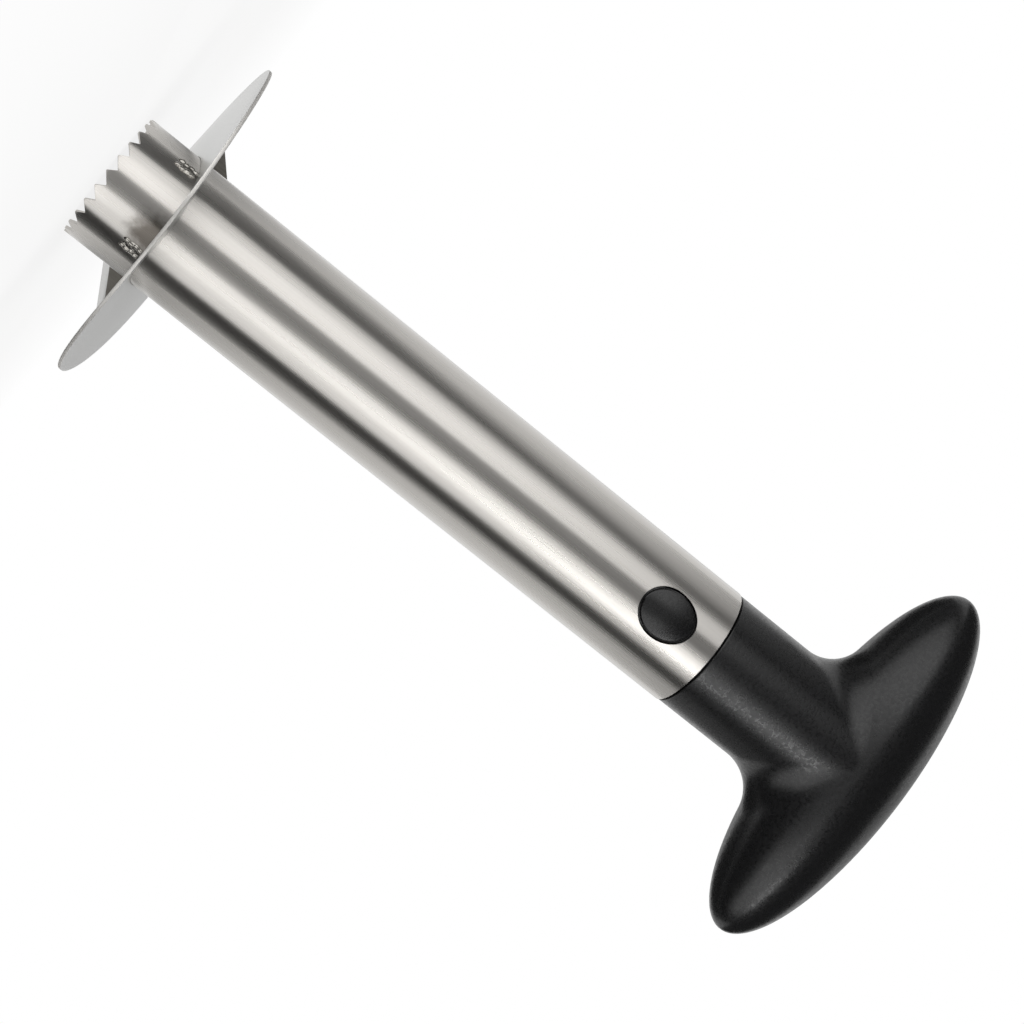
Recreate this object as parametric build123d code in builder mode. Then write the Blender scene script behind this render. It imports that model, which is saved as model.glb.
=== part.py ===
from build123d import *
from math import atan2, cos, degrees, radians, sin
import os

os.makedirs("parts", exist_ok=True)

# A pineapple slicer that stands on the teeth of its core tube, handle up.
# The origin is on the tube's axis, level with the tips of the teeth.
# Z runs up the tube, the crossbar of the handle lies along X, and the two
# release buttons face the front, -Y, and the back, +Y.

# Core tube: a welded stainless tube with saw teeth rolled on its lower end
tube_outer_radius = 16.0
tube_wall = 0.7
tube_length = 175.85
tooth_count = 24
tooth_depth = 2.1
tooth_tip_flat = 0.18
tooth_steep_share = 1 / 3
tooth_turn = 1.85
button_drop = 14.35
button_hole_length = 15.0
button_hole_width = 12.6

# Slicing blade: one turn of thin sheet whose two ends stand one slice apart
blade_radius = 41.2
blade_thickness = 0.85
blade_height = 16.0
slice_gap = 14.0
blade_turn = 4.25
blade_sections = 24
blade_fit = 0.05
blade_bevel_length = 3.2
blade_edge_land = 0.12
blade_mean_share = 0.052
blade_wave_shares = ((0.065, -0.045), (0.033, -0.069), (0.023, 0.012))

# Slit web: the plate behind the tube that joins the two ends of the blade
web_thickness = 1.0
web_seat = 0.15
web_hub_reach = 15.0
web_right_tip_reach = 27.0
web_right_top_reach = 29.0
web_left_tip_reach = 21.5
web_left_foot_reach = 26.4
web_tip_rise = 0.35
web_bevel_width = 1.6
web_bevel_depth = 0.6
web_run_points = 4

# Tack welds: beads that tie the blade to the tube from below
weld_angles = (-138, -48.6, 36, 126)
weld_length = 4.6
weld_width = 1.7
weld_height = 0.6
weld_seat = 0.05

# Handle grip: a moulded T whose crossbar tapers to rounded tips
seam_gap = 0.5
neck_inset = 0.2
bar_rise = 46.95
bar_stand = 0.05
bar_half_length = 50.1
tip_flat_depth = 0.04
neck_fillet = 11.5
neck_edge_round = 0.35
neck_wall = 2.68
socket_headroom = 0.4
pilot_headroom = 1.0

# Handle plug: the hollow boss of the handle that slides into the tube
plug_clearance = 0.15
plug_wall = 2.2
plug_foot = 4.0
plug_shoulder_drop = 0.15
shoulder_thickness = 2.2
spigot_length = 20.0
spigot_clearance = 0.12
spigot_cap_thickness = 3.0
plug_lead_chamfer = 0.6

# Release latches: sprung tongues of the plug that carry the buttons
latch_width = 13.0
latch_root_drop = 15.5
window_head = 1.5
latch_side_gap = 0.8
latch_root_gap = 0.4
button_gap = 0.5
button_rim_stand = 0.2
button_crown_stand = 0.65
button_edge_round = 0.45

# Plug screw: a pan-head screw from inside the plug up into the grip
screw_radius = 2.0
screw_length = 16.0
screw_head_radius = 3.75
screw_head_height = 2.6
screw_head_round = 1.2
screw_tip_chamfer = 0.8
screw_clearance = 0.25
screw_seat = 0.05
pilot_clearance = 0.05
recess_width = 1.0
recess_span = 4.2
recess_depth = 1.6

# Every cut runs past the face it opens by this much
overrun = 2.0

button_height = tube_length - button_drop
bore_radius = tube_outer_radius - tube_wall
hub_radius = tube_outer_radius + blade_fit
plug_radius = bore_radius - plug_clearance
plug_inner_radius = plug_radius - plug_wall
neck_bottom = tube_length + seam_gap
neck_radius = tube_outer_radius - neck_inset
socket_radius = neck_radius - neck_wall
spigot_radius = socket_radius - spigot_clearance
bar_height = neck_bottom + bar_rise
bar_radius = tube_outer_radius + bar_stand
shoulder_top = neck_bottom - plug_shoulder_drop
shoulder_bottom = shoulder_top - shoulder_thickness
spigot_inner_radius = spigot_radius - plug_wall
spigot_top = shoulder_top + spigot_length
spigot_cap_bottom = spigot_top - spigot_cap_thickness
socket_top = spigot_top + socket_headroom
latch_root = button_height - latch_root_drop
plug_bottom = latch_root - plug_foot
window_bottom = latch_root - latch_root_gap
window_top = shoulder_bottom - window_head
latch_top = window_top - latch_side_gap
button_half_width = button_hole_width / 2 - button_gap
button_half_length = button_hole_length / 2 - button_gap
button_rim_radius = tube_outer_radius + button_rim_stand
button_crown_radius = tube_outer_radius + button_crown_stand


def facing(angle, distance=0):
    """The upright plane that faces outwards at an angle round the tube, from the front to the right."""
    turn = radians(angle)
    outward = Vector(sin(turn), -cos(turn), 0)
    return Plane(origin=outward * distance, x_dir=(cos(turn), sin(turn), 0), z_dir=outward)


def radial(angle):
    """The upright plane through the tube's axis whose X runs outwards at an angle."""
    turn = radians(angle)
    return Plane(origin=(0, 0, 0), x_dir=(sin(turn), -cos(turn), 0), z_dir=(-cos(turn), -sin(turn), 0))


def sheet_height(angle):
    """Height of the middle of the blade's sheet, from its low end at -180 to its high end at 180."""
    share = angle / 360 + blade_mean_share
    for order, (cosine_share, sine_share) in enumerate(blade_wave_shares, start=1):
        turn = radians(order * angle)
        share += cosine_share * cos(turn) + sine_share * sin(turn)
    return blade_height + slice_gap * share


# Core tube, with its notches cut as saw teeth and its two button holes
pitch_width = 2 * tube_outer_radius * sin(radians(180 / tooth_count))
notch_half_width = (pitch_width - tooth_tip_flat) / 2
notch_root = notch_half_width * (1 - 2 * tooth_steep_share)
tooth_planes = [facing(tooth_turn + 360 * (tooth + 0.5) / tooth_count) for tooth in range(tooth_count)]

with BuildPart() as core_tube:
    with BuildSketch():
        Circle(tube_outer_radius)
        Circle(bore_radius, mode=Mode.SUBTRACT)
    extrude(amount=tube_length)
    with BuildSketch(*tooth_planes):
        with BuildLine():
            Polyline(
                (-notch_half_width, 0),
                (notch_root, tooth_depth),
                (notch_half_width, 0),
                (notch_half_width, -overrun),
                (-notch_half_width, -overrun),
                close=True,
            )
        make_face()
    extrude(amount=tube_outer_radius + overrun, mode=Mode.SUBTRACT)
    with BuildSketch(Plane.XZ):
        with Locations((0, button_height)):
            Ellipse(button_hole_width / 2, button_hole_length / 2)
    extrude(amount=tube_outer_radius + overrun, both=True, mode=Mode.SUBTRACT)

core_tube.part.label = "core_tube"
export_step(core_tube.part, "parts/core_tube.step")

# Slicing blade, lofted through radial sections and ground to an edge at its low end
low_end = sheet_height(-180)
bevel_run = 2 * blade_bevel_length
bevel_rise = 2 * (blade_thickness - blade_edge_land)
bevel_foot = low_end - blade_thickness / 2 + blade_edge_land

with BuildPart() as slicing_blade:
    for section in range(blade_sections + 1):
        section_angle = 360 * section / blade_sections - 180
        with BuildSketch(radial(section_angle + blade_turn)):
            with Locations(((hub_radius + blade_radius) / 2, sheet_height(section_angle))):
                Rectangle(blade_radius - hub_radius, blade_thickness)
    loft()
    with BuildSketch(facing(180 + blade_turn)):
        with BuildLine():
            Polyline(
                (0, bevel_foot),
                (bevel_run, bevel_foot + bevel_rise),
                (-overrun, bevel_foot + bevel_rise),
                (-overrun, bevel_foot),
                close=True,
            )
        make_face()
    extrude(amount=blade_radius + overrun, mode=Mode.SUBTRACT)

slicing_blade.part.label = "slicing_blade"
export_step(slicing_blade.part, "parts/slicing_blade.step")

# Slit web. Seen from the back its left side stands on the sheet's high end and its right
# side on the low end, so its outline follows the sheet's under side and upper side in turn.
sheet_seat = blade_thickness / 2 + web_seat
web_middle = hub_radius + web_thickness / 2


def angle_off_slit(reach):
    """Angle between the slit and the point of the web that lies a distance along it."""
    return degrees(atan2(reach, web_middle))


def run_of(start, end):
    """Evenly spaced distances along the web, both ends included."""
    return [start + (end - start) * step / web_run_points for step in range(web_run_points + 1)]


under_high_end = [
    (-reach, sheet_height(180 - angle_off_slit(reach)) - sheet_seat)
    for reach in run_of(web_right_top_reach, 0)
]
over_low_end = [
    (reach, sheet_height(angle_off_slit(reach) - 180) + sheet_seat)
    for reach in run_of(web_left_foot_reach, 0)
]
tip_height = blade_height + web_tip_rise
web_outline = [
    (-web_hub_reach, over_low_end[-1][1]),
    (-web_right_tip_reach, tip_height),
    *under_high_end,
    (web_hub_reach, under_high_end[-1][1]),
    (web_left_tip_reach, tip_height),
    *over_low_end,
]
bevel_middle = (
    -(web_hub_reach + web_right_tip_reach) / 2,
    (over_low_end[-1][1] + tip_height) / 2,
)
web_plane = facing(180 + blade_turn, hub_radius)

with BuildPart() as slit_web:
    with BuildSketch(web_plane):
        with BuildLine():
            Polyline(*web_outline, close=True)
        make_face()
    extrude(amount=web_thickness)
    inner_face = slit_web.faces().sort_by(Axis(web_plane.origin, web_plane.z_dir))[0]
    ground_edge = inner_face.edges().sort_by_distance(web_plane.from_local_coords((*bevel_middle, 0)))[0]
    chamfer(ground_edge, length=web_bevel_width, length2=web_bevel_depth, reference=inner_face)

slit_web.part.label = "slit_web"
export_step(slit_web.part, "parts/slit_web.step")

# Tack welds, half sunk beads that end just under the sheet
weld_axis_radius = hub_radius + weld_height - weld_width / 2

with BuildPart() as tack_welds:
    for weld_angle in weld_angles:
        weld_plane = facing(weld_angle + blade_turn, weld_axis_radius)
        weld_top = sheet_height(weld_angle) - blade_thickness / 2 - weld_seat
        with BuildSketch(weld_plane):
            with Locations((0, weld_top - weld_length / 2)):
                Ellipse(weld_width / 2, weld_length / 2)
                Rectangle(weld_width, weld_length, align=(Align.MAX, Align.CENTER), mode=Mode.SUBTRACT)
        revolve(axis=Axis(weld_plane.origin, (0, 0, 1)))
    Cylinder(
        hub_radius,
        tube_length,
        align=(Align.CENTER, Align.CENTER, Align.MIN),
        mode=Mode.SUBTRACT,
    )

tack_welds.part.label = "tack_welds"
export_step(tack_welds.part, "parts/tack_welds.step")

# Handle grip: a tapered crossbar on a round neck, with the socket for the plug's spigot.
# The crossbar is half an ellipse turned about its long axis, made as a left and a right half
# whose faces meet over the neck. Each tip ends in the small flat that its gate leaves.
with BuildPart() as handle_grip:
    for outer_side in (Align.MIN, Align.MAX):
        with BuildSketch(Plane.XZ):
            with Locations((0, bar_height)):
                Ellipse(bar_half_length + tip_flat_depth, bar_radius)
                Rectangle(
                    bar_half_length,
                    bar_radius + overrun,
                    align=(outer_side, Align.MIN),
                    mode=Mode.INTERSECT,
                )
        revolve(axis=Axis((0, 0, bar_height), (1, 0, 0)), clean=False)
    with BuildSketch(Plane.XY.offset(neck_bottom)):
        Circle(neck_radius)
    extrude(amount=bar_height - neck_bottom, clean=False)
    crotch_edges = [
        edge
        for edge in handle_grip.edges()
        if bar_height - bar_radius - neck_fillet < edge.center().Z < bar_height and edge.length > neck_radius
    ]
    fillet(crotch_edges, radius=neck_fillet)
    fillet(handle_grip.faces().sort_by(Axis.Z)[0].edges(), radius=neck_edge_round)
    with BuildSketch(Plane.XY.offset(neck_bottom)):
        Circle(socket_radius)
    extrude(amount=socket_top - neck_bottom, mode=Mode.SUBTRACT, clean=False)
    with BuildSketch(Plane.XY.offset(socket_top)):
        Circle(screw_radius + pilot_clearance)
    extrude(
        amount=spigot_cap_bottom - screw_seat + screw_length + pilot_headroom - socket_top,
        mode=Mode.SUBTRACT,
        clean=False,
    )

handle_grip.part.label = "handle_grip"
export_step(handle_grip.part, "parts/handle_grip.step")

# Handle plug: sleeve, shoulder and spigot in one turned profile, with a window for each latch
with BuildPart() as handle_plug:
    with BuildSketch(Plane.XZ):
        with BuildLine():
            Polyline(
                (plug_inner_radius, plug_bottom),
                (plug_radius - plug_lead_chamfer, plug_bottom),
                (plug_radius, plug_bottom + plug_lead_chamfer),
                (plug_radius, shoulder_top),
                (spigot_radius, shoulder_top),
                (spigot_radius, spigot_top),
                (screw_radius + screw_clearance, spigot_top),
                (screw_radius + screw_clearance, spigot_cap_bottom),
                (spigot_inner_radius, spigot_cap_bottom),
                (spigot_inner_radius, shoulder_bottom),
                (plug_inner_radius, shoulder_bottom),
                close=True,
            )
        make_face()
    revolve(axis=Axis.Z)
    with BuildSketch(facing(0), facing(180)):
        with Locations((0, (window_bottom + window_top) / 2)):
            Rectangle(latch_width + 2 * latch_side_gap, window_top - window_bottom)
    extrude(amount=plug_radius + overrun, mode=Mode.SUBTRACT)

handle_plug.part.label = "handle_plug"
export_step(handle_plug.part, "parts/handle_plug.step")

# Release latches: a strip of the sleeve's wall with a domed oval button that fills the hole
for latch_name, latch_angle in (("front_latch", 0), ("back_latch", 180)):
    with BuildPart() as latch:
        with BuildSketch(Plane.XY.offset(latch_root)):
            Circle(plug_radius)
            Circle(plug_inner_radius, mode=Mode.SUBTRACT)
            Rectangle(
                latch_width,
                plug_radius,
                rotation=latch_angle,
                align=(Align.CENTER, Align.MAX),
                mode=Mode.INTERSECT,
            )
        extrude(amount=latch_top - latch_root)
        with BuildSketch(facing(latch_angle, plug_radius - plug_wall / 2)):
            with Locations((0, button_height)):
                Ellipse(button_half_width, button_half_length)
        extrude(amount=button_crown_radius)
        with BuildSketch(Plane.XZ):
            with BuildLine():
                Polyline(
                    (button_rim_radius, button_height + button_half_length),
                    (button_rim_radius, latch_top),
                    (0, latch_top),
                    (0, latch_root),
                    (button_rim_radius, latch_root),
                    (button_rim_radius, button_height - button_half_length),
                )
                ThreePointArc(
                    (button_rim_radius, button_height - button_half_length),
                    (button_crown_radius, button_height),
                    (button_rim_radius, button_height + button_half_length),
                )
            make_face()
        revolve(axis=Axis.Z, mode=Mode.INTERSECT)
        outward = facing(latch_angle).z_dir
        crown = latch.faces().sort_by(Axis((0, 0, button_height), outward))[-1]
        fillet(crown.edges(), radius=button_edge_round)

    latch.part.label = latch_name
    export_step(latch.part, f"parts/{latch_name}.step")

# Plug screw, driven upwards through the spigot's closed end into the grip
screw_head_top = spigot_cap_bottom - screw_seat
screw_head_bottom = screw_head_top - screw_head_height

with BuildPart() as plug_screw:
    with BuildSketch(Plane.XY.offset(screw_head_bottom)):
        Circle(screw_head_radius)
    extrude(amount=screw_head_height)
    fillet(plug_screw.edges().sort_by(Axis.Z)[0], radius=screw_head_round)
    with BuildSketch(Plane.XY.offset(screw_head_top)):
        Circle(screw_radius)
    extrude(amount=screw_length)
    chamfer(plug_screw.edges().sort_by(Axis.Z)[-1], length=screw_tip_chamfer)
    with BuildSketch(Plane.XY.offset(screw_head_bottom)):
        Rectangle(recess_span, recess_width)
        Rectangle(recess_width, recess_span)
    extrude(amount=recess_depth, mode=Mode.SUBTRACT)

plug_screw.part.label = "plug_screw"
export_step(plug_screw.part, "parts/plug_screw.step")
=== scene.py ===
# %% [markdown]
# A pineapple slicer, dressed for its portrait.
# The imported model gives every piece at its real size, standing on its teeth with the handle up.
# This notebook adds what the eye needs: eased edges, brushed steel, weld beads, moulded plastic,
# a white studio and the camera. Everything is in metres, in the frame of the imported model.

import math

import bmesh
import bpy
from mathutils import Matrix, Vector


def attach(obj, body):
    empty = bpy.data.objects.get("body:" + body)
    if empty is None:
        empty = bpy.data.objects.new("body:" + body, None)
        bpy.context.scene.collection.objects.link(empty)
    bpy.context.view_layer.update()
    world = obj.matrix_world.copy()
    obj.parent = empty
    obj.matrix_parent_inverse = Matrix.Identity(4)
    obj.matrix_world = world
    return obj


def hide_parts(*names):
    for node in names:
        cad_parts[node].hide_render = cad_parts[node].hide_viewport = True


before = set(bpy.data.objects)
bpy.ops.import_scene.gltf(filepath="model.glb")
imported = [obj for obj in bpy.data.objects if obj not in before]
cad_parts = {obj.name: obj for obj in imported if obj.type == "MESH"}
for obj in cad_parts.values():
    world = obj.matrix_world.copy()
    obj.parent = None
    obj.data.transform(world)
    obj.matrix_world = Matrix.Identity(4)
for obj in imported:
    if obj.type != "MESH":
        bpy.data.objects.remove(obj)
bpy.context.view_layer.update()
MM = 0.001
print("nodes:", sorted(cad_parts))

# %% [markdown]
# The photograph was taken from in front of the tube, a little to its right, with the lens just
# above the level of the blade, and the camera was turned so that the slicer lies from corner to
# corner. A camera could be aimed by three angles. Here it is aimed by three directions, which
# are easier to check: where it looks, what is right and what is up. The roll turns right and up
# about the line of sight.

# %% Camera
CAMERA_AZIMUTH = 4.25
CAMERA_DISTANCE = 512 * MM
CAMERA_HEIGHT = 32.508 * MM
CAMERA_YAW = 0.00519
CAMERA_PITCH = 0.17016
CAMERA_ROLL = 2.24401
FOCAL_PIXELS = 2210.65
IMAGE_PIXELS = 1024
SENSOR_WIDTH = 36.0
CLIP_START = 10 * MM


def around(azimuth, distance, height):
    """A place at an angle in degrees from the front towards the right, a distance and a height."""
    turn = math.radians(azimuth)
    return Vector((distance * math.sin(turn), -distance * math.cos(turn), height))


camera = bpy.data.objects.new("camera", bpy.data.cameras.new("camera"))
bpy.context.scene.collection.objects.link(camera)
camera.data.sensor_width = SENSOR_WIDTH
camera.data.lens = SENSOR_WIDTH * FOCAL_PIXELS / IMAGE_PIXELS
camera.data.clip_start = CLIP_START

heading = CAMERA_YAW - math.radians(CAMERA_AZIMUTH)
level = math.cos(CAMERA_PITCH)
forward = Vector((math.sin(heading) * level, math.cos(heading) * level, math.sin(CAMERA_PITCH)))
level_right = Vector((math.cos(heading), -math.sin(heading), 0))
level_up = level_right.cross(forward)
right = level_right * math.cos(CAMERA_ROLL) + level_up * math.sin(CAMERA_ROLL)
up = level_up * math.cos(CAMERA_ROLL) - level_right * math.sin(CAMERA_ROLL)
stand = around(CAMERA_AZIMUTH, CAMERA_DISTANCE, CAMERA_HEIGHT)
axes = Matrix((right, up, -forward)).transposed().to_4x4()
camera.matrix_world = Matrix.Translation(stand) @ axes

bpy.context.scene.camera = camera
bpy.context.scene.view_settings.view_transform = "Standard"
print("lens, mm:", round(camera.data.lens, 2))

# %% [markdown]
# Colours are written as the hex values that a paint program shows. Blender's shaders want
# linear light, so one function turns the one into the other. A second small function adds a
# node with its settings and links, so that each material reads as a list of what it is made of.

# %% Helpers for materials


def linear(hex_colour):
    """The linear colour of an sRGB hex value such as 'c8c6c2'."""
    channels = [int(hex_colour[place : place + 2], 16) / 255 for place in (0, 2, 4)]
    curved = [c / 12.92 if c <= 0.04045 else ((c + 0.055) / 1.055) ** 2.4 for c in channels]
    return (*curved, 1.0)


def add_node(tree, kind, links=None, sockets=None, **settings):
    """Add one node, set its properties and the values of its sockets, and link what feeds it."""
    node = tree.nodes.new(kind)
    for name, value in settings.items():
        setattr(node, name, value)
    for name, value in (sockets or {}).items():
        node.inputs[name].default_value = value
    for name, source in (links or {}).items():
        tree.links.new(source, node.inputs[name])
    return node


def new_material(name, **sockets):
    """A material with its node tree, its shader's plain values set, and its Object coordinates."""
    material = bpy.data.materials.new(name)
    material.use_nodes = True
    tree = material.node_tree
    shader = tree.nodes["Principled BSDF"]
    for socket, value in sockets.items():
        shader.inputs[socket.replace("_", " ")].default_value = value
    place = tree.nodes.new("ShaderNodeTexCoord").outputs["Object"]
    return material, tree, shader, place


def per_metre(*millimetres):
    """How often a pattern repeats in a metre along each axis, from its size in millimetres."""
    return tuple(1 / (size * MM) for size in millimetres)


print("mid grey 808080 in linear light:", round(linear("808080")[0], 3))

# %% [markdown]
# The studio is plain: white all round, and two soft lamps in front. The white could be a lit
# wall, but then it would light the slicer from everywhere and wash it out. So the world is white
# only to the lens, to reflections and through glass, and lights the slicer at about half of it.

# %% Backdrop
BACKDROP_STRENGTH = 1.0
ROOM_LIGHT = 0.55


def seen_directly(tree):
    """One where a ray comes from the lens, a reflection or a glass, and nought elsewhere."""
    rays = tree.nodes.new("ShaderNodeLightPath").outputs
    lens_or_gloss = add_node(
        tree,
        "ShaderNodeMath",
        {0: rays["Is Camera Ray"], 1: rays["Is Glossy Ray"]},
        operation="MAXIMUM",
    )
    return add_node(
        tree,
        "ShaderNodeMath",
        {0: lens_or_gloss.outputs[0], 1: rays["Is Transmission Ray"]},
        operation="MAXIMUM",
    ).outputs[0]


world = bpy.data.worlds.new("studio")
bpy.context.scene.world = world
world.use_nodes = True
strength = add_node(
    world.node_tree,
    "ShaderNodeMapRange",
    {"Value": seen_directly(world.node_tree)},
    {"To Min": ROOM_LIGHT, "To Max": BACKDROP_STRENGTH},
)
background = world.node_tree.nodes["Background"]
background.inputs["Color"].default_value = linear("ffffff")
world.node_tree.links.new(strength.outputs[0], background.inputs["Strength"])
print("room light:", ROOM_LIGHT)

# %% Lamps
# name: (azimuth from the camera's in degrees, width in metres, radiance of its face)
LAMPS = {"key_lamp": (40, 0.66, 1.3), "fill_lamp": (-47, 0.80, 1.1)}
LAMP_TALL = 1.3
LAMP_DISTANCE = 1.0
LAMP_HEIGHT = 0.35

for name, (azimuth, width, radiance) in LAMPS.items():
    lamp = bpy.data.lights.new(name, "AREA")
    lamp.shape = "RECTANGLE"
    lamp.size = width
    lamp.size_y = LAMP_TALL
    lamp.energy = radiance * math.pi * width * LAMP_TALL
    box = bpy.data.objects.new(name, lamp)
    bpy.context.scene.collection.objects.link(box)
    box.location = around(azimuth + CAMERA_AZIMUTH, LAMP_DISTANCE, LAMP_HEIGHT)
    towards_tube = Vector((0, 0, LAMP_HEIGHT)) - box.location
    box.rotation_euler = towards_tube.to_track_quat("-Z", "Y").to_euler()
    box.visible_camera = False
    box.visible_glossy = False
    print(name, "stands at", [round(edge, 2) for edge in box.location], "m")

# %% [markdown]
# Polished metal shows its surroundings more than its lamps, so in a studio cards are stood round
# it. Here they are seen only in reflections: white reflectors on both sides, a grey gap between
# them where the camera is, and black flags outside them. They give the tube its bands. Each card
# starts on the table at the tube's foot, so that the bands stay straight down to the teeth, runs
# out to the wall and goes up it. A dark flag above keeps the black handle black, and one narrow
# bright strip, leaning, draws the line of light on its neck and crossbar. The bands could be
# painted on the tube instead, but they would not move with the view as reflections do.

# %% Places of the cards
CARD_DISTANCE = 1.15
CARD_START = 17 * MM
CARD_FLOOR = 0.2 * MM
CARD_STEPS = 10
LOW_TIER = 0.505
HIGH_TIER = 0.95
BACK_FOOT = 20 * MM

# name: (azimuths of both sides at its foot, the same at its head, foot, head, brightness)
WALL_CARDS = {
    "outer_flag_right": ((66, 102), (58, 80), 0, LOW_TIER, 0.04),
    "key_reflector_outer": ((40, 66), (40, 58), 0, LOW_TIER, 1.42),
    "key_reflector_inner": ((18, 40), (4, 40), 0, LOW_TIER, 1.75),
    "camera_gap": ((-17, 18), (-20, 4), 0, LOW_TIER, 0.42),
    "fill_reflector_inner": ((-46, -17), (-46, -20), 0, LOW_TIER, 1.75),
    "fill_reflector_outer": ((-66, -46), (-50, -46), 0, LOW_TIER, 1.38),
    "outer_flag_left": ((-107, -66), (-66, -50), 0, LOW_TIER, 0.13),
    "high_flag": ((-130, 140), (-130, 140), LOW_TIER, HIGH_TIER, 0.07),
    "back_gap": ((165, 195), (165, 195), BACK_FOOT, HIGH_TIER, 0.62),
}
# name: (azimuths of both sides, distances of both ends, brightness)
FLOOR_CARDS = {
    "floor_flag_right": ((102, 160), (0.10, 1.15), 0.06),
    "floor_flag_left": ((-160, -107), (0.10, 1.15), 0.06),
}
# The leaning strip: azimuths of both sides and height, at its foot and at its head.
# It stands a little nearer than the flag behind it.
STRIP_FOOT = ((38, 53), 0.51)
STRIP_HEAD = ((12, 28), 0.70)
STRIP_DISTANCE = 1.12
STRIP_BRIGHTNESS = 9.5
print("cards:", len(WALL_CARDS) + len(FLOOR_CARDS) + 1)

# %% [markdown]
# A card shines at a plain strength and reflects nothing. Where the nearest ones lie on the
# table, they shine only when they are seen at a flat angle, as the tube's wall sees them. The
# crossbar looks straight down on them, and its underside has to stay dark.

# %% Paint of the cards
TABLE_SHEEN = ("key_reflector_outer", "key_reflector_inner", "camera_gap")
# Cosines of the angle off the card's normal, between which the shine fades
SHEEN_ANGLES = (0.3, 0.55)
TABLE_DARK = 0.04


def card_paint(name, brightness, table=False):
    """Paint that shines plainly, or on a table only where it is seen at a flat angle."""
    material, tree, shader, _ = new_material(
        name,
        Base_Color=linear("000000"),
        Specular_IOR_Level=0.0,
        Emission_Color=linear("ffffff"),
        Emission_Strength=brightness,
    )
    if table:
        grazing = add_node(tree, "ShaderNodeLayerWeight", sockets={"Blend": 0.5})
        sheen = add_node(
            tree,
            "ShaderNodeMapRange",
            {"Value": grazing.outputs["Facing"]},
            {
                "From Min": 1 - SHEEN_ANGLES[1],
                "From Max": 1 - SHEEN_ANGLES[0],
                "To Min": TABLE_DARK,
                "To Max": brightness,
            },
        )
        tree.links.new(sheen.outputs[0], shader.inputs["Emission Strength"])
    return material


def bend_card(name, columns, brightness):
    """Skin the columns of points with faces and paint them, so that only reflections show them."""
    mesh = bmesh.new()
    posts = [[mesh.verts.new(point) for point in column] for column in columns]
    for left, right in zip(posts, posts[1:]):
        for lower in range(len(left) - 1):
            face = mesh.faces.new((left[lower], right[lower], right[lower + 1], left[lower + 1]))
            on_table = all(corner.co.z < MM for corner in face.verts)
            face.material_index = int(on_table and name in TABLE_SHEEN)
    piece = bpy.data.objects.new(name, bpy.data.meshes.new(name))
    mesh.to_mesh(piece.data)
    mesh.free()
    bpy.context.scene.collection.objects.link(piece)
    piece.data.materials.append(card_paint(name + "_paint", brightness))
    if name in TABLE_SHEEN:
        piece.data.materials.append(card_paint(name + "_table", brightness, table=True))
    piece.visible_camera = False
    piece.visible_diffuse = False
    piece.visible_shadow = False


def steps_between(sides):
    """Azimuths from one side of a card to the other."""
    return [sides[0] + (sides[1] - sides[0]) * step / CARD_STEPS for step in range(CARD_STEPS + 1)]


print("cards that shine at a flat angle:", len(TABLE_SHEEN))

# %% Stand the wall cards
for name, (foot_sides, head_sides, foot, head, brightness) in WALL_CARDS.items():
    columns = []
    for at_foot, at_head in zip(steps_between(foot_sides), steps_between(head_sides)):
        column = [
            around(at_foot + CAMERA_AZIMUTH, CARD_DISTANCE, foot),
            around(at_head + CAMERA_AZIMUTH, CARD_DISTANCE, head),
        ]
        if foot == 0:
            # A reflection leaves the tube at half the azimuth that it is headed for
            column.insert(0, around(at_foot / 2 + CAMERA_AZIMUTH, CARD_START, CARD_FLOOR))
        if head == HIGH_TIER:
            column.append(around(at_head + CAMERA_AZIMUTH, 0, head))
        columns.append(column)
    bend_card(name, columns, brightness)
print("wall cards:", len(WALL_CARDS))

# %% Lay the floor cards and lean the strip
for name, (sides, ends, brightness) in FLOOR_CARDS.items():
    columns = [
        [around(azimuth + CAMERA_AZIMUTH, distance, CARD_FLOOR) for distance in ends]
        for azimuth in steps_between(sides)
    ]
    bend_card(name, columns, brightness)

strip_columns = [
    [
        around(azimuth + CAMERA_AZIMUTH, STRIP_DISTANCE, height)
        for azimuth, height in ((at_foot, STRIP_FOOT[1]), (at_head, STRIP_HEAD[1]))
    ]
    for at_foot, at_head in zip(steps_between(STRIP_FOOT[0]), steps_between(STRIP_HEAD[0]))
]
bend_card("leaning_strip", strip_columns, STRIP_BRIGHTNESS)
print("floor cards:", len(FLOOR_CARDS), "and one strip")

# %% [markdown]
# The floor is a round sheet of white paper. To the lens it is mostly as bright as the backdrop,
# so that the picture's ground is white, and the rest of it is lit by the lamps, so that it keeps
# the slicer's shadow. The shadow fades out towards the sheet's edge, where paper meets backdrop.

# %% Floor
FLOOR_RADIUS = 0.45
FLOOR_SIDES = 96
SHADOW_SHARE = 0.16
SHADOW_REACH = (0.12, 0.40)

bpy.ops.object.select_all(action="DESELECT")
bpy.ops.mesh.primitive_circle_add(vertices=FLOOR_SIDES, radius=FLOOR_RADIUS, fill_type="NGON")
floor = bpy.context.object
floor.name = "floor"
paper, tree, shader, place = new_material(
    "white_paper", Base_Color=linear("f6f6f5"), Roughness=0.9, Specular_IOR_Level=0.1
)
from_middle = add_node(tree, "ShaderNodeVectorMath", {0: place}, operation="LENGTH")
backdrop_share = add_node(
    tree,
    "ShaderNodeMapRange",
    {"Value": from_middle.outputs["Value"]},
    {
        "From Min": SHADOW_REACH[0],
        "From Max": SHADOW_REACH[1],
        "To Min": 1 - SHADOW_SHARE,
        "To Max": 1.0,
    },
)
share = add_node(
    tree,
    "ShaderNodeMath",
    {0: seen_directly(tree), 1: backdrop_share.outputs[0]},
    operation="MULTIPLY",
)
backdrop = add_node(
    tree,
    "ShaderNodeEmission",
    sockets={"Color": linear("ffffff"), "Strength": BACKDROP_STRENGTH},
)
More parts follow.
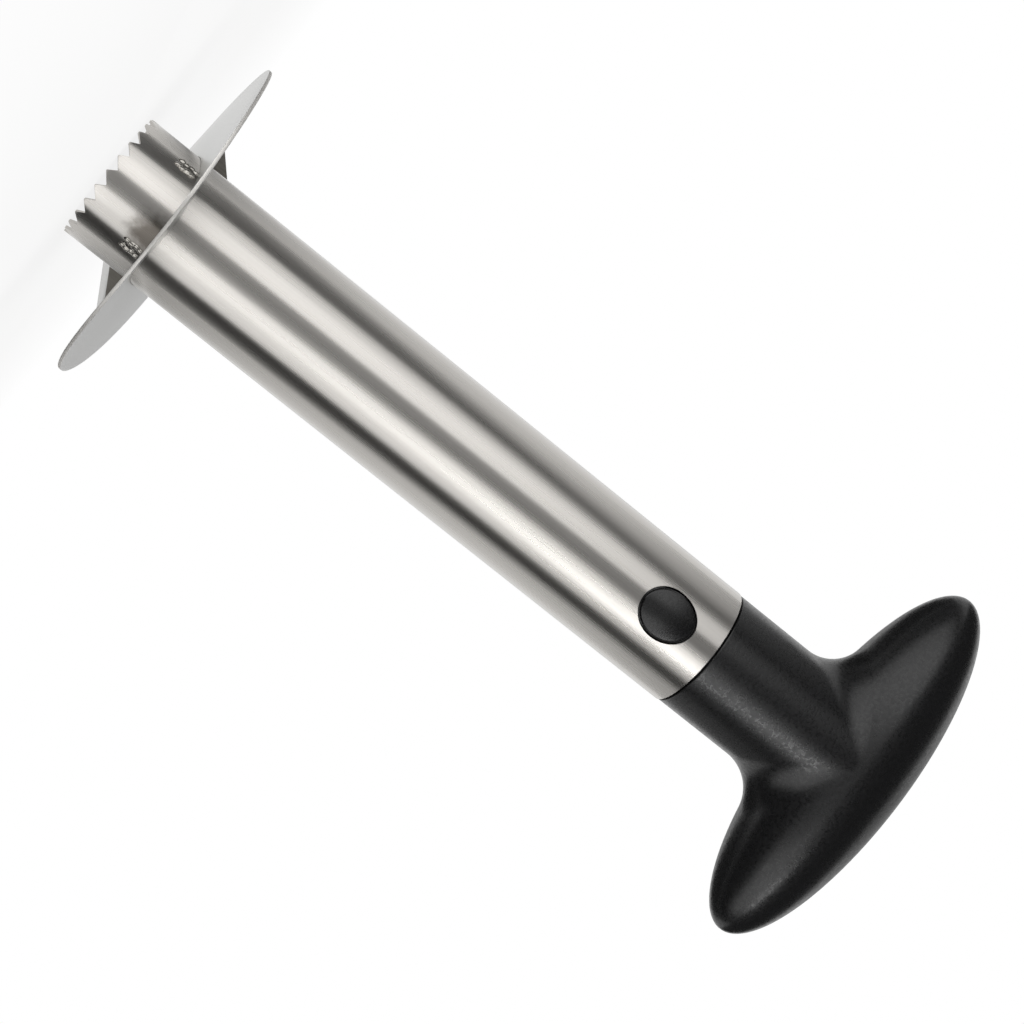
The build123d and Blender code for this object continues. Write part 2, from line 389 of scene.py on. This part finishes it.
mixed = add_node(
    tree,
    "ShaderNodeMixShader",
    {0: share.outputs[0], 1: shader.outputs[0], 2: backdrop.outputs[0]},
)
tree.links.new(mixed.outputs[0], tree.nodes["Material Output"].inputs["Surface"])
floor.data.materials.append(paper)
print("floor radius, m:", FLOOR_RADIUS)

# %% [markdown]
# The metal is 18/8 stainless steel. Brushing leaves fine parallel scratches. They reflect light
# sharply along one direction and spread it along the other, which the shader calls anisotropic.
# The scratches could be an image, but a noise stretched along the brushing direction never
# repeats and has no seam. Real ones are about 0.05 mm wide, too fine to show here, so they are
# drawn at about half a millimetre. The same noise makes the steel a little lighter and darker,
# glossier and duller, so that it isn't the even grey of paint.

# %% Steel
# Shares of the roughness between which the gloss wanders from scratch to scratch
STEEL_GLOSS = (0.9, 1.1)
MIX_FIRST, MIX_SECOND, MIX_RESULT = 6, 7, 2  # sockets of a Mix node that mixes colours


def brushed_steel(name, light, dark, roughness, line, length, depth, spread=0.0, turn=0.0):
    """Steel with scratches `line` mm wide and `length` mm long up the slicer, `depth` mm deep."""
    material, tree, shader, place = new_material(
        name, Metallic=1.0, Anisotropic=spread, Anisotropic_Rotation=turn
    )
    stretched = add_node(
        tree, "ShaderNodeMapping", {"Vector": place}, {"Scale": per_metre(line, line, length)}
    )
    lines = add_node(
        tree,
        "ShaderNodeTexNoise",
        {"Vector": stretched.outputs[0]},
        {"Scale": 1.0, "Detail": 2.0},
    )
    tint = add_node(tree, "ShaderNodeMix", {"Factor": lines.outputs["Fac"]}, data_type="RGBA")
    tint.inputs[MIX_FIRST].default_value = linear(dark)
    tint.inputs[MIX_SECOND].default_value = linear(light)
    gloss = add_node(
        tree,
        "ShaderNodeMapRange",
        {"Value": lines.outputs["Fac"]},
        {"To Min": roughness * STEEL_GLOSS[0], "To Max": roughness * STEEL_GLOSS[1]},
    )
    relief = add_node(
        tree,
        "ShaderNodeBump",
        {"Height": lines.outputs["Fac"]},
        {"Strength": 1.0, "Distance": depth * MM},
    )
    tangent = add_node(tree, "ShaderNodeTangent", direction_type="RADIAL", axis="Z")
    tree.links.new(tint.outputs[MIX_RESULT], shader.inputs["Base Color"])
    tree.links.new(gloss.outputs[0], shader.inputs["Roughness"])
    tree.links.new(relief.outputs[0], shader.inputs["Normal"])
    tree.links.new(tangent.outputs[0], shader.inputs["Tangent"])
    print(name, "roughness", roughness)
    return material


# Stainless tube, brushed along its length by a belt: long bands of light with soft sides
TUBE_STEEL = brushed_steel(
    "brushed_stainless_tube",
    light="c8c5c1",
    dark="b8b5b0",
    roughness=0.28,
    line=0.5,
    length=70,
    depth=0.0012,
    spread=0.8,
    turn=0.25,
)
# Stainless sheet with a satin finish: an even pale grey that shows no picture of the room
SHEET_STEEL = brushed_steel(
    "satin_stainless_sheet",
    light="d6d6d5",
    dark="c8c8c6",
    roughness=0.32,
    line=0.4,
    length=12,
    depth=0.001,
)
# The blade's rim, ground by a wheel: matt from the grit, so that it is pale from every side.
# The grit's marks are too fine to show, and are drawn as a faint mottle 1.5 mm across.
RIM_STEEL = brushed_steel(
    "ground_blade_rim",
    light="dddbd7",
    dark="d0cecb",
    roughness=0.6,
    line=1.5,
    length=1.5,
    depth=0.0,
)
# Weld metal that froze in drops: glossy, with bright and dull patches, so that it glitters
WELD_STEEL = brushed_steel(
    "frozen_weld_metal",
    light="c4c1bb",
    dark="7d7973",
    roughness=0.2,
    line=0.8,
    length=1.2,
    depth=0.004,
)
# Stainless plate as it left the rolling mill, never polished: dull. It is darker than the rest
# because shade is painted into its colour: the web sits in shade under the blade's sheet
SHADED_PLATE_STEEL = brushed_steel(
    "shaded_stainless_plate",
    light="7e7b75",
    dark="605d58",
    roughness=0.45,
    line=0.5,
    length=5,
    depth=0.002,
)

# %% [markdown]
# Handle and buttons are black injection-moulded plastic, such as polypropylene, which bends light
# by 1.49. Sparks roughen the walls of such a mould, and the plastic takes on their grain, which
# breaks up its highlights. The grain could be carved, but it is far too small for a mesh, so a
# noise gives it as bump and as patches of gloss. Real grain is about 0.1 mm across, too fine to
# show here, so it is drawn coarser: 0.8 mm on the grip, and 0.5 mm on the smoother buttons.

# %% Plastic
PLASTIC_IOR = 1.49
# The middle part of the noise, and the shares of the roughness that it is spread over
GRAIN_RANGE = (0.3, 0.7)
PLASTIC_GLOSS = (0.75, 1.3)


def moulded_plastic(name, colour, roughness, grain, depth):
    """Black moulded plastic with a fine grain `grain` mm across and `depth` mm deep."""
    material, tree, shader, place = new_material(
        name, Base_Color=linear(colour), IOR=PLASTIC_IOR
    )
    scaled = add_node(
        tree, "ShaderNodeMapping", {"Vector": place}, {"Scale": per_metre(grain, grain, grain)}
    )
    skin = add_node(
        tree,
        "ShaderNodeTexNoise",
        {"Vector": scaled.outputs[0]},
        {"Scale": 1.0, "Detail": 3.0},
    )
    relief = add_node(
        tree,
        "ShaderNodeBump",
        {"Height": skin.outputs["Fac"]},
        {"Strength": 1.0, "Distance": depth * MM},
    )
    gloss = add_node(
        tree,
        "ShaderNodeMapRange",
        {"Value": skin.outputs["Fac"]},
        {
            "From Min": GRAIN_RANGE[0],
            "From Max": GRAIN_RANGE[1],
            "To Min": roughness * PLASTIC_GLOSS[0],
            "To Max": roughness * PLASTIC_GLOSS[1],
        },
    )
    tree.links.new(relief.outputs[0], shader.inputs["Normal"])
    tree.links.new(gloss.outputs[0], shader.inputs["Roughness"])
    print(name, "roughness", roughness)
    return material


# The grip: a soft sheen, broken by the grain
GRIP_PLASTIC = moulded_plastic(
    "moulded_black_grip", "101011", roughness=0.29, grain=0.8, depth=0.02
)
# Buttons, latches and plug: smoother and a little blacker
BUTTON_PLASTIC = moulded_plastic(
    "moulded_black_button", "0c0c0d", roughness=0.26, grain=0.5, depth=0.008
)

# %% [markdown]
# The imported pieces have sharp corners, and real sheet metal has none: punching and deburring
# round each edge by about a tenth of a millimetre, and that thin round catches the light.
# The corners could be rounded in the CAD, at a high price in faces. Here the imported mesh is
# copied, its loose triangles are merged into one skin, and a Bevel modifier eases every edge
# that is sharper than a limit.

# %% Helpers for eased edges
MERGE_DISTANCE = 0.001 * MM
SHARP_ANGLE = math.radians(35)
EASE_SEGMENTS = 2


def select_only(piece):
    """Deselect everything else, and make this piece the one that operators act on."""
    bpy.ops.object.select_all(action="DESELECT")
    piece.select_set(True)
    bpy.context.view_layer.objects.active = piece


def copy_packed(node, name):
    """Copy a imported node's mesh and merge it into one skin."""
    piece = bpy.data.objects.new(name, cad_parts[node].data.copy())
    piece.data.name = name
    bpy.context.scene.collection.objects.link(piece)
    select_only(piece)
    bpy.ops.mesh.customdata_custom_splitnormals_clear()
    bpy.ops.object.mode_set(mode="EDIT")
    bpy.ops.mesh.select_all(action="SELECT")
    bpy.ops.mesh.remove_doubles(threshold=MERGE_DISTANCE)
    bpy.ops.mesh.normals_make_consistent(inside=False)
    bpy.ops.object.mode_set(mode="OBJECT")
    return piece


def ease_edges(piece, width):
    """Round the sharp edges of a piece to a width in millimetres."""
    select_only(piece)
    bevel = piece.modifiers.new("eased_edges", "BEVEL")
    bevel.width = width * MM
    bevel.segments = EASE_SEGMENTS
    bevel.limit_method = "ANGLE"
    bevel.angle_limit = SHARP_ANGLE
    bevel.use_clamp_overlap = False
    bpy.ops.object.modifier_apply(modifier=bevel.name)
    bpy.ops.object.shade_smooth_by_angle(angle=SHARP_ANGLE)


def dress(piece, *materials):
    """Give a piece its materials, the first one to all its faces."""
    piece.data.materials.clear()
    for material in materials:
        piece.data.materials.append(material)


print("edges eased above, degrees:", round(math.degrees(SHARP_ANGLE)))

# %% [markdown]
# The blade is cut out of sheet, bent into one turn, and ground round its rim. Its flat faces are
# satin and its rim is matt, so one mesh carries two materials. They could be two pieces, but then
# the rim would need an edge of its own. The rim's faces are found by place and direction: they
# are near the outside, and they don't look up or down.

# %% Blade
BLADE_EASE = 0.14
RIM_START = 40.3 * MM
RIM_UPRIGHT = 0.85  # faces whose normal points less up or down than this belong to the rim

eased_blade = copy_packed("slicing_blade", "blade_sheet_eased")
ease_edges(eased_blade, BLADE_EASE)
dress(eased_blade, SHEET_STEEL, RIM_STEEL)
for face in eased_blade.data.polygons:
    if abs(face.normal.z) < RIM_UPRIGHT and face.center.xy.length > RIM_START:
        face.material_index = 1
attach(eased_blade, "cutter")
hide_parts("slicing_blade")
print("blade faces:", len(eased_blade.data.polygons))

# %% [markdown]
# The web is a small dull plate behind the tube that closes the blade's slit. It sits in shade
# under the blade's sheet, and that shade is painted into its dark colour. One of its edges is
# ground at a shallow angle, keeps the sheet's paler satin and shows as a light strip. Those faces
# are found by how far they lean from the plate's largest face: more than the flat, and less than
# the cut edges. Only the large ones count, because the eased corners lean too.

# %% Web
WEB_EASE = 0.1
GROUND_LEAN = (0.88, 0.975)  # cosines of the lean from the plate's flat
GROUND_AREA = 2 * MM**2

eased_web = copy_packed("slit_web", "web_plate_eased")
ease_edges(eased_web, WEB_EASE)
# The plate's dark colour is painted shade; the ground strip gets the sheet's satin.
dress(eased_web, SHADED_PLATE_STEEL, SHEET_STEEL)
flat = max(eased_web.data.polygons, key=lambda face: face.area).normal.copy()
ground = [
    face
    for face in eased_web.data.polygons
    if GROUND_LEAN[0] < abs(face.normal.dot(flat)) < GROUND_LEAN[1] and face.area > GROUND_AREA
]
for face in ground:
    face.material_index = 1
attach(eased_web, "cutter")
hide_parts("slit_web")
print("web faces:", len(eased_web.data.polygons))
print("web's ground edge, mm2:", round(sum(face.area for face in ground) / MM**2, 1))

# %% [markdown]
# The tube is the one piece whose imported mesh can't be eased: its long wall is made of thin
# triangles that shade badly once their edges move. So it is modelled again, as a maker would
# do it: a sheet rolled into a tube, teeth stamped into its foot, and a hole punched on each side
# for the button. The sheet is a cylinder without ends. A cut just above the teeth keeps the wall
# in one piece above them, the foot is pushed up column by column to the outline of the teeth,
# and Solidify gives the wall its thickness.

# %% Tube and its teeth
TUBE_RADIUS = 16.0
TUBE_WALL = 0.7
TUBE_LENGTH = 175.85
TOOTH_COUNT = 24
COLUMNS_PER_TOOTH = 24
TOOTH_TURN = 1.85
TOOTH_DEPTH = 2.1
TOOTH_TIP_FLAT = 0.18
TOOTH_STEEP_SHARE = 1 / 3
# Stamped teeth are never all alike: depth in mm, and radians from one tooth to the next
TOOTH_WANDER = 0.07
WANDER_STEP = 2.4
ABOVE_TEETH = 3.0
COLUMN_GUARD = 0.001  # keeps a column on the line between two teeth in the right one


def tooth_edge(angle):
    """Height of the tube's foot at an angle from the front, in millimetres."""
    pitch = 360 / TOOTH_COUNT
    from_turn = (angle - TOOTH_TURN) % 360
    tooth = int(from_turn / pitch + COLUMN_GUARD)
    across = TUBE_RADIUS * math.sin(math.radians(from_turn - (tooth + 0.5) * pitch))
    half = TUBE_RADIUS * math.sin(math.radians(pitch / 2)) - TOOTH_TIP_FLAT / 2
    root = half * (1 - 2 * TOOTH_STEEP_SHARE)
    run = (across + half) / (root + half) if across < root else (half - across) / (half - root)
    wander = TOOTH_WANDER * math.sin(WANDER_STEP * tooth)
    return max(run, 0) * (TOOTH_DEPTH + wander)


bpy.ops.object.select_all(action="DESELECT")
bpy.ops.mesh.primitive_cylinder_add(
    vertices=TOOTH_COUNT * COLUMNS_PER_TOOTH,
    radius=TUBE_RADIUS * MM,
    depth=TUBE_LENGTH * MM,
    end_fill_type="NOTHING",
    location=(0, 0, TUBE_LENGTH / 2 * MM),
    rotation=(0, 0, math.radians(TOOTH_TURN)),
)
tube = bpy.context.object
tube.name = "core_tube_rolled"
bpy.ops.object.transform_apply(location=True, rotation=True, scale=True)
bpy.ops.object.mode_set(mode="EDIT")
bpy.ops.mesh.select_all(action="SELECT")
bpy.ops.mesh.bisect(plane_co=(0, 0, ABOVE_TEETH * MM), plane_no=(0, 0, 1))
bpy.ops.object.mode_set(mode="OBJECT")
for vertex in tube.data.vertices:
    if vertex.co.z < MM:
        vertex.co.z = tooth_edge(math.degrees(math.atan2(vertex.co.x, -vertex.co.y))) * MM
bpy.ops.object.mode_set(mode="EDIT")
bpy.ops.mesh.select_all(action="SELECT")
bpy.ops.mesh.normals_make_consistent(inside=False)
bpy.ops.object.mode_set(mode="OBJECT")
wall = tube.modifiers.new("wall", "SOLIDIFY")
wall.thickness = TUBE_WALL * MM
wall.offset = -1
bpy.ops.object.modifier_apply(modifier=wall.name)
print("tube wall faces:", len(tube.data.polygons))

# %% [markdown]
# One long oval punch goes through both walls, as a press would do it, and Boolean takes its
# shape out of the tube. Then Bevel eases teeth and holes alike.

# %% Button holes
HOLE_HEIGHT = 161.5
HOLE_SIZE = (12.6, 15.0)
PUNCH_SIDES = 96
PUNCH_REACH = 3 * TUBE_RADIUS
TUBE_EASE = 0.08

bpy.ops.object.select_all(action="DESELECT")
bpy.ops.mesh.primitive_cylinder_add(vertices=PUNCH_SIDES, radius=0.5, depth=1)
punch = bpy.context.object
punch.scale = (HOLE_SIZE[0] * MM, HOLE_SIZE[1] * MM, PUNCH_REACH * MM)
punch.rotation_euler = (math.radians(90), 0, 0)
punch.location = (0, 0, HOLE_HEIGHT * MM)
bpy.ops.object.transform_apply(location=True, rotation=True, scale=True)
select_only(tube)
holes = tube.modifiers.new("holes", "BOOLEAN")
holes.object = punch
holes.operation = "DIFFERENCE"
holes.solver = "EXACT"
bpy.ops.object.modifier_apply(modifier=holes.name)
bpy.data.objects.remove(punch)
ease_edges(tube, TUBE_EASE)
print("tube faces:", len(tube.data.polygons))

# %% [markdown]
# Long thin faces round the holes would still shade unevenly, and on brushed metal that shows as
# dents. A Weighted Normal modifier helps with flat walls. On a round one it is surer to say what
# the normals are: straight out from the axis on the outer wall, and straight in on the inner
# one. Points of the eased edges get nought, which leaves them as they are.

# %% Even shading of the tube
WALL_TOLERANCE = 0.005 * MM
INNER_RADIUS = (TUBE_RADIUS - TUBE_WALL) * MM

straight_out = []
for vertex in tube.data.vertices:
    out = Vector((vertex.co.x, vertex.co.y, 0))
    if out.length > TUBE_RADIUS * MM - WALL_TOLERANCE:
        straight_out.append(out.normalized())
    elif out.length < INNER_RADIUS + WALL_TOLERANCE:
        straight_out.append(-out.normalized())
    else:
        straight_out.append((0, 0, 0))
tube.data.normals_split_custom_set_from_vertices(straight_out)
dress(tube, TUBE_STEEL)
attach(tube, "cutter")
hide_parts("core_tube")
print("points on the walls:", sum(any(normal) for normal in straight_out))

# %% [markdown]
# Four short welds tie the blade to the tube on its teeth side. A tack weld is a row of drops of
# molten metal that froze one on the other, so it is lumpy, with bright tops and dark creases.
# It could be one bar with bump, but its outline would be too smooth. Each drop starts as a ball
# that is flattened against the tube. Voxel Remesh melts the drops into one skin, and Displace
# roughens it with a cloud pattern 0.8 mm in size.

# %% Tack welds
WELD_ANGLES = (-138, -48.6, 36, 126)
BLADE_TURN = 4.25
WELD_SECTOR = 12  # degrees on both sides of a weld's middle that hold all of it
DROP_STEP = 1.25
# Two strands of drops: sideways place, first drop and count. A flat seat lies below them.
STRANDS = ((-0.85, 0.6, 4), (0.95, 0.9, 4))
DROP_SIZE = (0.6, 0.5, 1.0)
DROP_SHIFTS = (0.16, -0.14, 0.14, -0.16)
SEAT_SIZE = (1.7, 0.28, 2.6)
SEAT_DROP = 0.93  # share of its length that the seat's middle lies below the blade
BALL_SEGMENTS, BALL_RINGS = 24, 12
WELD_VOXEL = 0.11
ROUGHNESS_SIZE = 0.8
ROUGHNESS_HEIGHT = 0.1


def weld_top(angle):
    """Height at which a packed weld ends under the sheet, in metres."""
    towards = around(angle + BLADE_TURN, 1, 0)
    least = math.cos(math.radians(WELD_SECTOR))
    points = [vertex.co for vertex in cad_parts["tack_welds"].data.vertices]
    return max(point.z for point in points if point.xy.normalized().dot(towards.xy) > least)


def lay_drop(size, sideways, height, turn):
    """One ball, squashed to a size in mm and laid on the tube, sideways of the weld's middle."""
    bpy.ops.object.select_all(action="DESELECT")
    bpy.ops.mesh.primitive_uv_sphere_add(
        segments=BALL_SEGMENTS, ring_count=BALL_RINGS, radius=MM
    )
    ball = bpy.context.object
    ball.scale = size
    ball.location = (sideways * MM, -math.sqrt(TUBE_RADIUS**2 - sideways**2) * MM, height)
    bpy.ops.object.transform_apply(location=True, rotation=False, scale=True)
    ball.rotation_euler = (0, 0, turn)
    bpy.ops.object.transform_apply(location=False, rotation=True, scale=False)
    return ball


def melt_together(balls, name):
    """Join the balls, melt them into one skin and roughen it."""
    bpy.ops.object.select_all(action="DESELECT")
    for ball in balls:
        ball.select_set(True)
    bpy.context.view_layer.objects.active = balls[0]
    bpy.ops.object.join()
    weld = bpy.context.object
    weld.name = name
    bpy.ops.object.origin_set(type="ORIGIN_CURSOR")
    melt = weld.modifiers.new("melt", "REMESH")
    melt.mode = "VOXEL"
    melt.voxel_size = WELD_VOXEL * MM
    bpy.ops.object.modifier_apply(modifier=melt.name)
    cloud = bpy.data.textures.new(name + "_skin", "CLOUDS")
    cloud.noise_scale = ROUGHNESS_SIZE * MM
    roughen = weld.modifiers.new("roughen", "DISPLACE")
    roughen.texture = cloud
    roughen.strength = ROUGHNESS_HEIGHT * MM
    bpy.ops.object.modifier_apply(modifier=roughen.name)
    bpy.ops.object.shade_smooth()
    return weld


def lay_weld(angle, name):
    """One weld: a flat seat with two strands of drops on it, melted together."""
    top = weld_top(angle)
    turn = math.radians(angle + BLADE_TURN)
    places = [(SEAT_SIZE, 0, SEAT_DROP * SEAT_SIZE[2])]
    for sideways, first, count in STRANDS:
        for drop in range(count):
            places.append((DROP_SIZE, sideways + DROP_SHIFTS[drop], first + drop * DROP_STEP))
    balls = [lay_drop(size, sideways, top - down * MM, turn) for size, sideways, down in places]
    return melt_together(balls, name)


welds = [
    lay_weld(angle, f"tack_weld_{number}") for number, angle in enumerate(WELD_ANGLES, start=1)
]
for weld in welds:
    dress(weld, WELD_STEEL)
    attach(weld, "cutter")
    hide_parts("tack_welds")
print("weld faces:", [len(weld.data.polygons) for weld in welds])

# %% [markdown]
# Beside one weld, below the blade, the tube is darkened in a ragged cloud. This is painted
# shade: it stands for the dark underside of the blade, seen in the tube as a reflection. It could
# be a painted image, but the tube would need a map of its surface. Here the tube's colour is mixed
# with the dark colour by the distance from one point, stretched to the cloud's size. A noise makes
# the cloud's edge ragged, and the cloud stops at the blade.

# %% Painted shade beside a weld
PAINTED_SHADE_COLOUR = "544e47"
SHADED_WELD = 36
PAINTED_SHADE_AZIMUTH = 22
PAINTED_SHADE_DOWN = 0.6
PAINTED_SHADE_REACH = (6.4, 6.4, 7.2)
PAINTED_SHADE_DEPTH = 0.88
PAINTED_SHADE_FADE = (0.35, 1.1)  # shares of the reach between which the painted shade fades out
PAINTED_SHADE_RAGGED = 0.5
PAINTED_SHADE_GRAIN = 2
ABOVE_WELD = 0.2


def paint_shade(material, middle, reach, depth, tint, top):
    """Paint shade on a steel round a point, less with distance, and only below a height."""
    tree = material.node_tree
    shader = tree.nodes["Principled BSDF"]
    place = tree.nodes.new("ShaderNodeTexCoord").outputs["Object"]
    grain = per_metre(PAINTED_SHADE_GRAIN, PAINTED_SHADE_GRAIN, PAINTED_SHADE_GRAIN)
    scaled = add_node(tree, "ShaderNodeMapping", {"Vector": place}, {"Scale": grain})
    wander = add_node(
        tree,
        "ShaderNodeTexNoise",
        {"Vector": scaled.outputs[0]},
        {"Scale": 1.0, "Detail": 2.0},
    )
    colour = shader.inputs["Base Color"].links[0].from_socket
    away = add_node(tree, "ShaderNodeVectorMath", {0: place}, {1: middle}, operation="SUBTRACT")
    stretched = add_node(
        tree,
        "ShaderNodeVectorMath",
        {0: away.outputs[0]},
        {1: per_metre(*reach)},
        operation="MULTIPLY",
    )
    far = add_node(tree, "ShaderNodeVectorMath", {0: stretched.outputs[0]}, operation="LENGTH")
    ragged = add_node(
        tree,
        "ShaderNodeMath",
        {0: wander.outputs["Fac"]},
        {1: PAINTED_SHADE_RAGGED, 2: -PAINTED_SHADE_RAGGED / 2},
        operation="MULTIPLY_ADD",
    )
    uneven = add_node(
        tree,
        "ShaderNodeMath",
        {0: far.outputs["Value"], 1: ragged.outputs[0]},
        operation="ADD",
    )
    fade = add_node(
        tree,
        "ShaderNodeMapRange",
        {"Value": uneven.outputs[0]},
        {"From Min": PAINTED_SHADE_FADE[0], "From Max": PAINTED_SHADE_FADE[1], "To Min": depth, "To Max": 0.0},
        interpolation_type="SMOOTHSTEP",
    )
    height = add_node(tree, "ShaderNodeSeparateXYZ", {"Vector": place})
    below = add_node(
        tree, "ShaderNodeMath", {0: height.outputs["Z"]}, {1: top}, operation="LESS_THAN"
    )
    share = add_node(
        tree,
        "ShaderNodeMath",
        {0: fade.outputs[0], 1: below.outputs[0]},
        operation="MULTIPLY",
    )
    mix = add_node(tree, "ShaderNodeMix", {"Factor": share.outputs[0]}, data_type="RGBA")
    mix.inputs[MIX_SECOND].default_value = linear(tint)
    tree.links.new(colour, mix.inputs[MIX_FIRST])
    tree.links.new(mix.outputs[MIX_RESULT], shader.inputs["Base Color"])


# The dark cloud is painted shade, standing for the blade's dark underside reflected in the tube.
shaded_top = weld_top(SHADED_WELD)
paint_shade(
    TUBE_STEEL,
    middle=around(PAINTED_SHADE_AZIMUTH, TUBE_RADIUS * MM, shaded_top - PAINTED_SHADE_DOWN * MM),
    reach=PAINTED_SHADE_REACH,
    depth=PAINTED_SHADE_DEPTH,
    tint=PAINTED_SHADE_COLOUR,
    top=shaded_top + ABOVE_WELD * MM,
)
# The painted shade stops at this height.
print("heat tint stops at, mm:", round(shaded_top / MM + ABOVE_WELD, 2))

# %% [markdown]
# Grip, plug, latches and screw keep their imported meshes, because their rounds are part of the
# solids already. They only need their materials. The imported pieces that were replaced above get
# theirs too, so that no node is left bare.

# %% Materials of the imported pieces
PACKED_MATERIALS = {
    "core_tube": TUBE_STEEL,
    "slicing_blade": SHEET_STEEL,
    "slit_web": SHADED_PLATE_STEEL,
    "tack_welds": SHEET_STEEL,
    "handle_grip": GRIP_PLASTIC,
    "handle_plug": BUTTON_PLASTIC,
    "front_latch": BUTTON_PLASTIC,
    "back_latch": BUTTON_PLASTIC,
    "plug_screw": SHADED_PLATE_STEEL,
}
for node, material in PACKED_MATERIALS.items():
    dress(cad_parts[node], material)
print("packed nodes dressed:", len(PACKED_MATERIALS))
